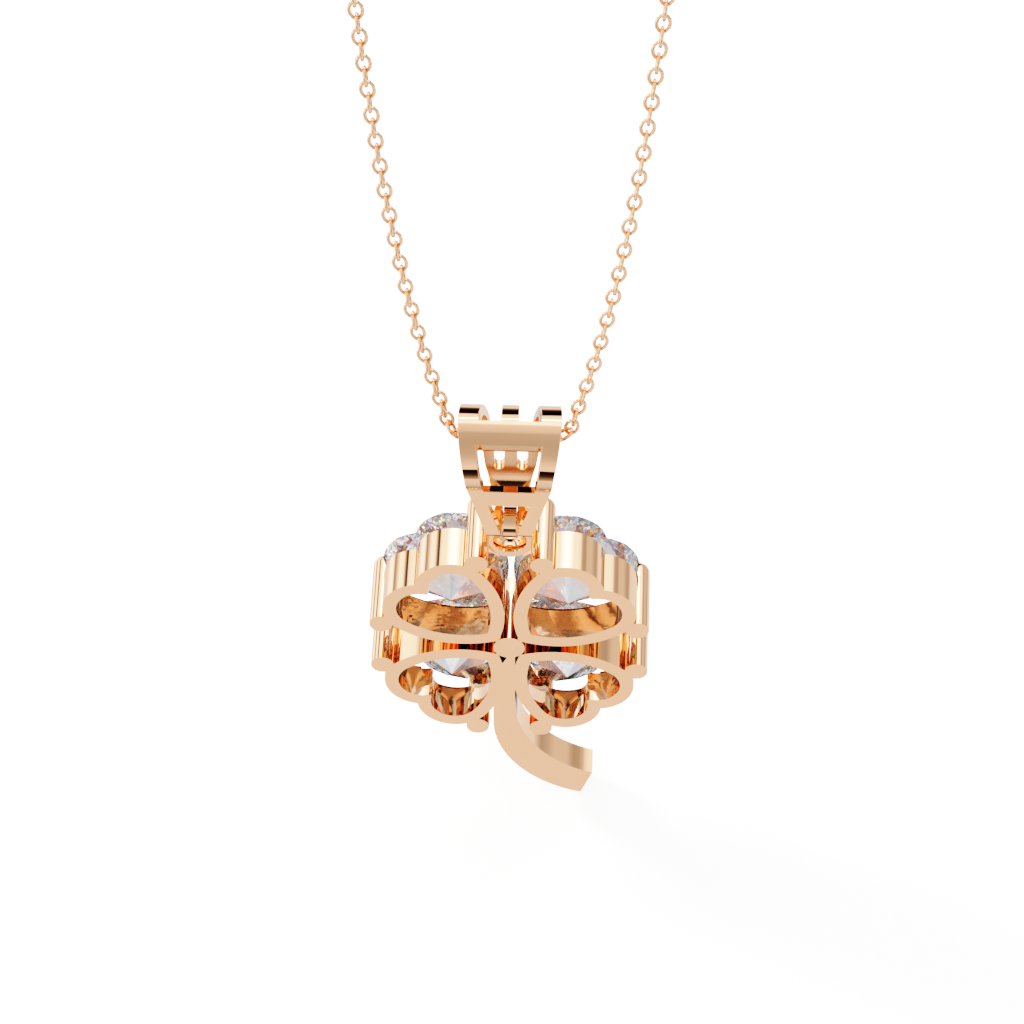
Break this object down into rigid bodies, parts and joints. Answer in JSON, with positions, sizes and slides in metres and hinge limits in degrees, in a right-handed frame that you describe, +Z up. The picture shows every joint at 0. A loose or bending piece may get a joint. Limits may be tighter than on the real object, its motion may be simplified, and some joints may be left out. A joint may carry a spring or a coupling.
{
  "type": "diamond pendant",
  "caption": "Clover pendant of heart-cut diamonds in rose gold prong baskets with a curved stem, hung by a link and openwork strap bail on a fine cable chain.",
  "frame": {"origin": "middle of the clasp ring, at the top of the chain loop, where the necklace hangs; the clover hangs below it", "axes": "+Z up, the clover's stone side faces -Y and its flat back +Y, +X to the right seen from the front; the loop lies in the XZ plane"},
  "size_m": [0.026, 0.0055, 0.2244],
  "materials": {
    "rose_gold": "polished rose gold",
    "diamond": "clear cut diamond"
  },
  "bodies": {
    "necklace": {"chain": "rose_gold", "clasp": "rose_gold"},
    "bail": {"bail": "rose_gold"},
    "link": {"link": "rose_gold"},
    "clover": {"clover_setting": "rose_gold", "stone_upper_left": "diamond", "stone_upper_right": "diamond", "stone_lower_left": "diamond", "stone_lower_right": "diamond"}
  },
  "joints": [
    {"name": "bail_swing", "type": "hinge", "parent": "necklace", "child": "bail", "pos_m": [0, 0, -0.1923], "axis": [1, 0, 0], "range_deg": [-60, 60]},
    {"name": "link_swing", "type": "hinge", "parent": "bail", "child": "link", "pos_m": [0, 0, -0.19882], "axis": [1, 0, 0], "range_deg": [-25, 25]},
    {"name": "clover_sway", "type": "hinge", "parent": "link", "child": "clover", "pos_m": [0, 0, -0.20046], "axis": [0, 1, 0], "range_deg": [-20, 20]}
  ]
}
